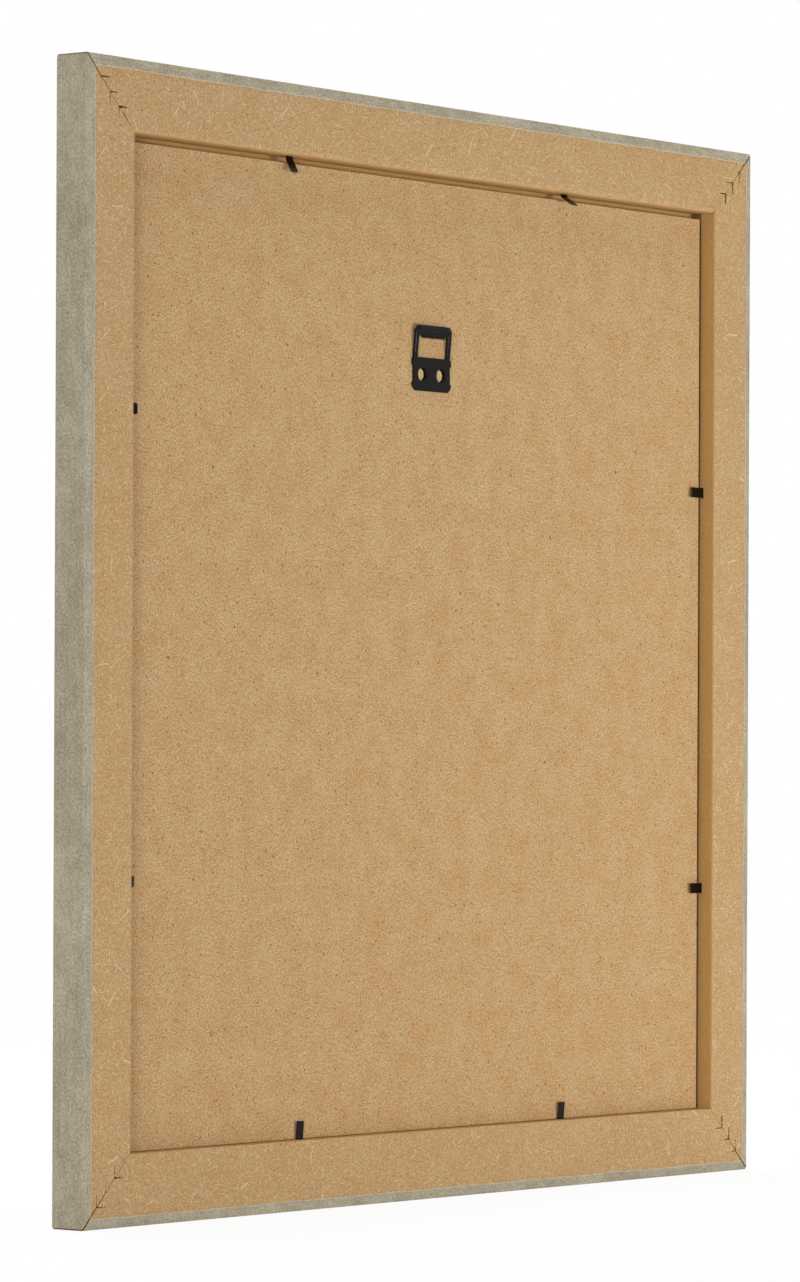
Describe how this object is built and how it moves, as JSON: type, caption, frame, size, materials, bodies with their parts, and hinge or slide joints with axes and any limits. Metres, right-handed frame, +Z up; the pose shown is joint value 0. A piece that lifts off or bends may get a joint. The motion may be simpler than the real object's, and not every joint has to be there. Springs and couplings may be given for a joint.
{
  "type": "picture frame",
  "caption": "Square wall picture frame: foil-wrapped mitred rails, glazed front, recessed back board held by bendable flex points, and a sawtooth hanger on the board.",
  "frame": {"origin": "on the hanger's teeth at mid-width and mid-thickness, where the frame rests on a wall nail", "axes": "+X to the right as seen from the picture side, +Y backwards to the wall, +Z up"},
  "size_m": [0.46, 0.016, 0.46],
  "materials": {
    "mdf_rail": "raw MDF, planed",
    "decor_foil": "concrete-grey decor foil, satin",
    "clear_glass": "clear float glass",
    "plain_paper": "plain uncoated sheet",
    "mdf_board": "raw thin MDF, sanded",
    "black_steel": "black coated spring steel",
    "nail_steel": "stamped steel strip, browned"
  },
  "bodies": {
    "frame": {"rail_left": "mdf_rail", "foil_left": "decor_foil", "rail_top": "mdf_rail", "foil_top": "decor_foil", "rail_right": "mdf_rail", "foil_right": "decor_foil", "rail_bottom": "mdf_rail", "foil_bottom": "decor_foil", "v_nail_top_left_1": "nail_steel", "v_nail_top_left_2": "nail_steel", "v_nail_top_left_3": "nail_steel", "v_nail_top_right_1": "nail_steel", "v_nail_top_right_2": "nail_steel", "v_nail_top_right_3": "nail_steel", "v_nail_bottom_right_1": "nail_steel", "v_nail_bottom_right_2": "nail_steel", "v_nail_bottom_right_3": "nail_steel", "v_nail_bottom_left_1": "nail_steel", "v_nail_bottom_left_2": "nail_steel", "v_nail_bottom_left_3": "nail_steel", "point_shank_top_left": "black_steel", "point_shank_top_right": "black_steel", "point_shank_bottom_left": "black_steel", "point_shank_bottom_right": "black_steel", "point_shank_left_upper": "black_steel", "point_shank_left_lower": "black_steel", "point_shank_right_upper": "black_steel", "point_shank_right_lower": "black_steel", "glazing_pane": "clear_glass", "insert_sheet": "plain_paper", "back_board": "mdf_board", "sawtooth_hanger": "black_steel"},
    "leaf_top_left": {"point_leaf_top_left": "black_steel"},
    "leaf_top_right": {"point_leaf_top_right": "black_steel"},
    "leaf_bottom_left": {"point_leaf_bottom_left": "black_steel"},
    "leaf_bottom_right": {"point_leaf_bottom_right": "black_steel"},
    "leaf_left_upper": {"point_leaf_left_upper": "black_steel"},
    "leaf_left_lower": {"point_leaf_left_lower": "black_steel"},
    "leaf_right_upper": {"point_leaf_right_upper": "black_steel"},
    "leaf_right_lower": {"point_leaf_right_lower": "black_steel"}
  },
  "joints": [
    {"name": "bend_top_left", "type": "hinge", "parent": "frame", "child": "leaf_top_left", "pos_m": [-0.0944, -0.00072, 0.0666], "axis": [1, 0, 0], "range_deg": [-56, 34]},
    {"name": "bend_top_right", "type": "hinge", "parent": "frame", "child": "leaf_top_right", "pos_m": [0.0964, -0.00072, 0.0666], "axis": [1, 0, 0], "range_deg": [-27, 63]},
    {"name": "bend_bottom_left", "type": "hinge", "parent": "frame", "child": "leaf_bottom_left", "pos_m": [-0.0947, -0.00072, -0.3334], "axis": [-1, 0, 0], "range_deg": [-5, 85]},
    {"name": "bend_bottom_right", "type": "hinge", "parent": "frame", "child": "leaf_bottom_right", "pos_m": [0.0872, -0.00072, -0.3334], "axis": [-1, 0, 0], "range_deg": [-5, 85]},
    {"name": "bend_left_upper", "type": "hinge", "parent": "frame", "child": "leaf_left_upper", "pos_m": [-0.2, -0.00072, -0.058], "axis": [0, 0, 1], "range_deg": [-4, 86]},
    {"name": "bend_left_lower", "type": "hinge", "parent": "frame", "child": "leaf_left_lower", "pos_m": [-0.2, -0.00072, -0.2357], "axis": [0, 0, 1], "range_deg": [-4, 86]},
    {"name": "bend_right_upper", "type": "hinge", "parent": "frame", "child": "leaf_right_upper", "pos_m": [0.2, -0.00072, -0.0406], "axis": [0, 0, -1], "range_deg": [-12, 78]},
    {"name": "bend_right_lower", "type": "hinge", "parent": "frame", "child": "leaf_right_lower", "pos_m": [0.2, -0.00072, -0.2277], "axis": [0, 0, -1], "range_deg": [-12, 78]}
  ]
}
